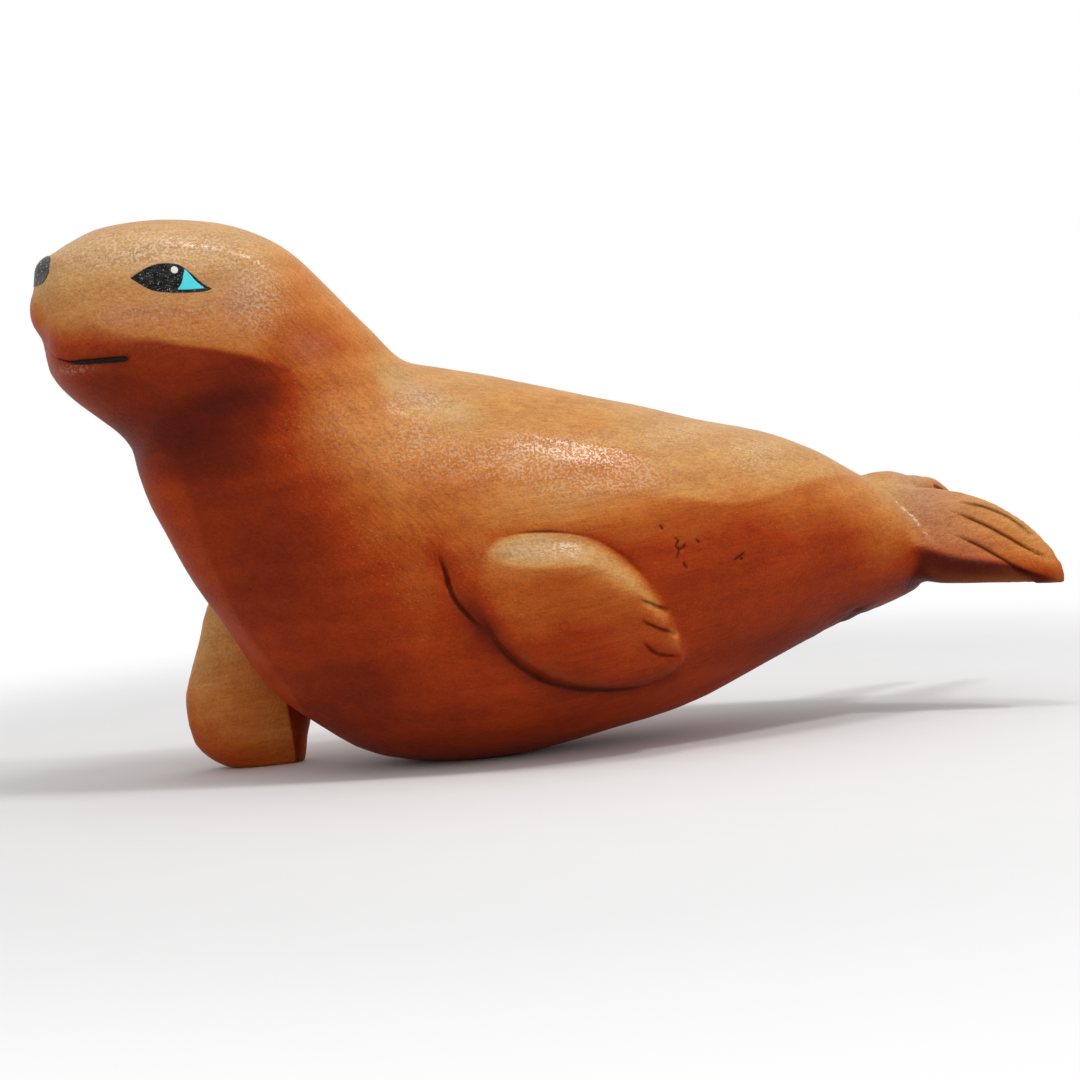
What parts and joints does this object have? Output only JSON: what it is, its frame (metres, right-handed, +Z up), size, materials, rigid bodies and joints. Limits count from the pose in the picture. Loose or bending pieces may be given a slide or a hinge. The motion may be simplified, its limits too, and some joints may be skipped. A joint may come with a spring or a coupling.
{
  "type": "seal figurine",
  "caption": "Carved wooden seal lying on its belly with its head raised, propped on one fore flipper, the other folded along its flank.",
  "frame": {"origin": "centre of the bounding box at its base, at the level the carving rests on", "axes": "-X the way the nose points, +X the tail, +Y the carving's right side where the planted flipper is, +Z up"},
  "size_m": [0.35, 0.1138, 0.1921],
  "materials": {
    "wood": "stained and varnished, satin with bright speckles"
  },
  "bodies": {
    "root": {"seal": "wood"}
  },
  "joints": []
}
